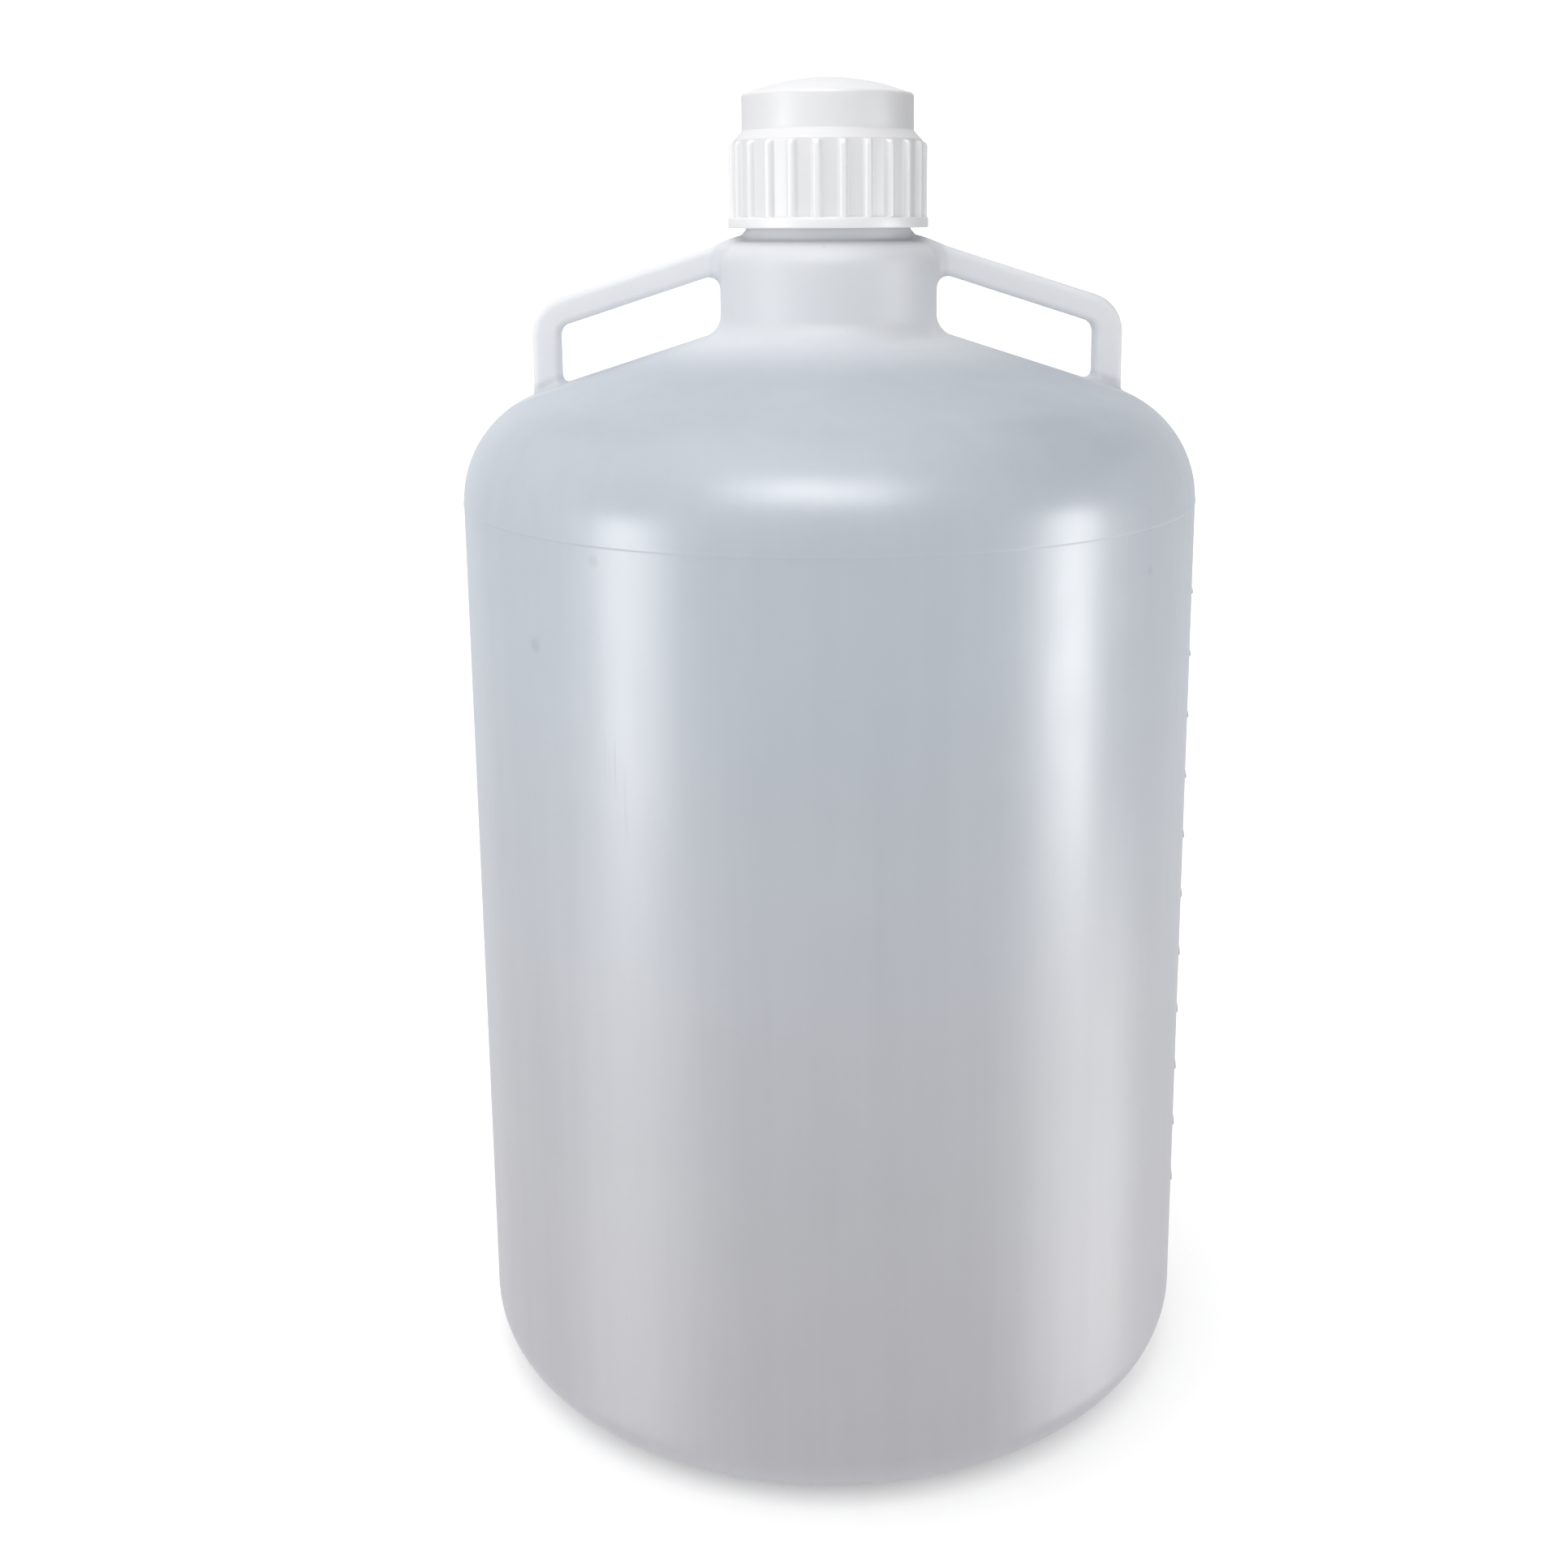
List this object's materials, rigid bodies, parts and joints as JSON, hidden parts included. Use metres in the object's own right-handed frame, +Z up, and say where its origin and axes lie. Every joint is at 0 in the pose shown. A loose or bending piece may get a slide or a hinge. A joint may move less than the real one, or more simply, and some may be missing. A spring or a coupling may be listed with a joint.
{
  "type": "large plastic lab carboy with screw closure",
  "caption": "Tall round translucent plastic carboy with moulded-in loop handles on a sloping shoulder and a wide neck closed by a ribbed white screw closure.",
  "frame": {"origin": "centre of the ring that the bottle stands on, at floor level on the bottle's axis", "axes": "+Z up along the bottle's and the closure's common axis, +X through the right-hand loop handle, -Y towards the viewer; both handles lie in the XZ plane"},
  "size_m": [0.378, 0.378, 0.6707],
  "materials": {
    "natural_plastic": "translucent milky natural polyolefin, satin blow-moulded skin with soft broad highlights",
    "white_plastic": "opaque white injection moulding, smooth low gloss",
    "seal_rubber": "soft matt elastomer sealing ring, off-white"
  },
  "bodies": {
    "bottle": {"bottle_body": "natural_plastic", "neck_finish": "natural_plastic", "handle_right": "natural_plastic", "handle_left": "natural_plastic"},
    "gasket": {"closure_gasket": "seal_rubber"},
    "closure": {"closure_cap": "white_plastic"}
  },
  "joints": [
    {"name": "closure_lift", "type": "slide", "parent": "bottle", "child": "gasket", "axis": [0, 0, 1], "range_m": [0, 0.0201]},
    {"name": "closure_turn", "type": "hinge", "parent": "gasket", "child": "closure", "pos_m": [0, 0, 0.63], "axis": [0, 0, 1], "range_deg": [0, 900]}
  ],
  "couplings": [
    {"joint": "closure_lift", "follows": "closure_turn", "m_per_rad": 0.0012732}
  ]
}
